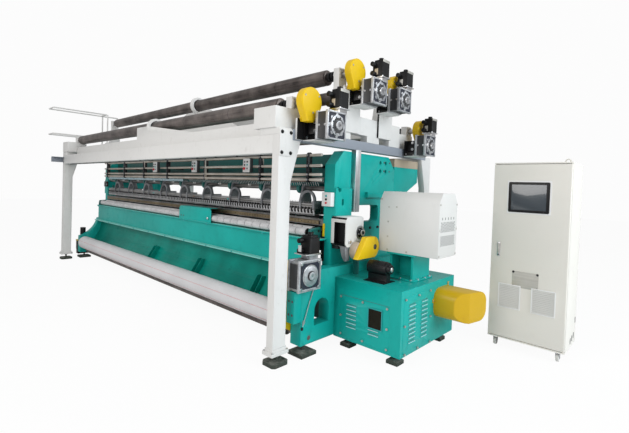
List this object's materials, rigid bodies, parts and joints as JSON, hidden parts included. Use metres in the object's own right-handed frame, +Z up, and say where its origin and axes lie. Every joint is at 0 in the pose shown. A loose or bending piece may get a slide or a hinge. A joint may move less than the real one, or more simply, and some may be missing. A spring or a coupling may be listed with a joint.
{
  "type": "warp knitting machine",
  "caption": "Wide warp knitting machine with a roller gantry over it, teal frame, cloth take-up roll in front, drive cabinet on the right and a separate control cabinet",
  "frame": {"origin": "on the floor, in the middle of the whole set seen from above", "axes": "+X along the machine towards the drive cabinet, +Y from the take-up side to the back, +Z up"},
  "size_m": [8.473, 3.034, 2.973],
  "materials": {
    "white_paint": "smooth",
    "teal_paint": "smooth",
    "grey_blue_paint": "smooth",
    "yellow_paint": "smooth",
    "black_paint": "smooth",
    "beige_paint": "smooth",
    "pale_grey_paint": "smooth",
    "dark_steel": "brushed",
    "bright_steel": "brushed",
    "cast_metal": "cast",
    "profile_metal": "brushed",
    "cloth": "woven",
    "pad_rubber": "matte",
    "grey_plastic": "matte"
  },
  "bodies": {
    "root": {"gantry_posts": "white_paint", "front_beam": "white_paint", "rear_beam": "white_paint", "side_beams": "white_paint", "upper_beams": "white_paint", "roller_pedestals": "white_paint", "centre_supports": "white_paint", "end_rail": "white_paint", "crank_casting": "white_paint", "cabinet_body": "white_paint", "side_frames": "teal_paint", "frame_legs": "teal_paint", "front_channel": "teal_paint", "fabric_tray": "teal_paint", "top_beam": "teal_paint", "stretcher": "teal_paint", "hanger_arms": "teal_paint", "take_up_bracket": "teal_paint", "roller_cover": "teal_paint", "base_cabinet": "teal_paint", "pedestal": "teal_paint", "deck_supports": "teal_paint", "take_down_plates": "teal_paint", "cable_channels": "grey_blue_paint", "chain_guards": "yellow_paint", "chain_cover": "yellow_paint", "motor_cover": "yellow_paint", "belt_guard": "yellow_paint", "gearbox_brackets": "black_paint", "let_off_motors": "black_paint", "take_up_motor": "black_paint", "left_take_up_drive": "black_paint", "drive_motor": "black_paint", "rear_deck": "beige_paint", "belt_plate": "beige_paint", "pattern_housing": "pale_grey_paint", "stop_rails": "bright_steel", "yarn_rail": "bright_steel", "let_off_gearboxes": "cast_metal", "take_up_gearbox": "cast_metal", "lift_profile": "profile_metal", "gantry_feet": "pad_rubber", "frame_feet": "pad_rubber", "castors": "pad_rubber", "button_boxes": "grey_plastic"},
    "roller_front_low": {"roller_front_low": "dark_steel"},
    "roller_front_high": {"roller_front_high": "dark_steel"},
    "roller_rear_high": {"roller_rear_high": "dark_steel"},
    "roller_rear_low": {"roller_rear_low": "dark_steel"},
    "take_down_front": {"take_down_roller_front": "bright_steel"},
    "take_down_rear": {"take_down_roller_rear": "bright_steel"},
    "cloth_roll": {"cloth_roll": "cloth"},
    "press_roller": {"press_roller": "dark_steel"},
    "rocker": {"rocker_shaft": "bright_steel", "rocker_arms": "dark_steel"},
    "guide_bars": {"guide_bars": "bright_steel"},
    "needle_bar": {"needle_bar": "bright_steel"},
    "crank_hub": {"crank_hub": "black_paint"},
    "cabinet_door": {"cabinet_door": "white_paint", "door_fittings": "grey_plastic"}
  },
  "joints": [
    {"name": "let_off_front_low", "type": "hinge", "parent": "root", "child": "roller_front_low", "pos_m": [-0.7735, -1.055, 2.358], "axis": [1, 0, 0], "continuous": true},
    {"name": "let_off_front_high", "type": "hinge", "parent": "root", "child": "roller_front_high", "pos_m": [-0.7735, -0.4, 2.78], "axis": [1, 0, 0], "continuous": true},
    {"name": "let_off_rear_high", "type": "hinge", "parent": "root", "child": "roller_rear_high", "pos_m": [-0.7735, 0.36, 2.78], "axis": [1, 0, 0], "continuous": true},
    {"name": "let_off_rear_low", "type": "hinge", "parent": "root", "child": "roller_rear_low", "pos_m": [-0.7735, 0.99, 2.358], "axis": [1, 0, 0], "continuous": true},
    {"name": "take_down_front", "type": "hinge", "parent": "root", "child": "take_down_front", "pos_m": [-0.7735, -0.655, 1.128], "axis": [1, 0, 0], "continuous": true},
    {"name": "take_down_rear", "type": "hinge", "parent": "root", "child": "take_down_rear", "pos_m": [-0.7735, -0.565, 1.14], "axis": [1, 0, 0], "continuous": true},
    {"name": "cloth_winding", "type": "hinge", "parent": "root", "child": "cloth_roll", "pos_m": [-0.7735, -0.97, 0.33], "axis": [1, 0, 0], "continuous": true},
    {"name": "press_roll", "type": "hinge", "parent": "root", "child": "press_roller", "pos_m": [-0.7735, -0.895, 0.168], "axis": [1, 0, 0], "continuous": true},
    {"name": "rocker_swing", "type": "hinge", "parent": "root", "child": "rocker", "pos_m": [-0.7735, -0.47, 1.58], "axis": [1, 0, 0], "range_deg": [-5, 5]},
    {"name": "guide_bar_shog", "type": "slide", "parent": "rocker", "child": "guide_bars", "axis": [1, 0, 0], "range_m": [-0.012, 0.012]},
    {"name": "needle_bar_stroke", "type": "slide", "parent": "root", "child": "needle_bar", "axis": [0, 0, 1], "range_m": [-0.006, 0.012]},
    {"name": "crank_turn", "type": "hinge", "parent": "root", "child": "crank_hub", "pos_m": [-0.7735, -0.295, 1.145], "axis": [1, 0, 0], "continuous": true},
    {"name": "cabinet_door_swing", "type": "hinge", "parent": "root", "child": "cabinet_door", "pos_m": [4.2252, 0.741, 1], "axis": [0, 0, 1], "range_deg": [0, 110]}
  ],
  "couplings": [
    {"joint": "take_down_rear", "follows": "take_down_front", "ratio": -1}
  ]
}
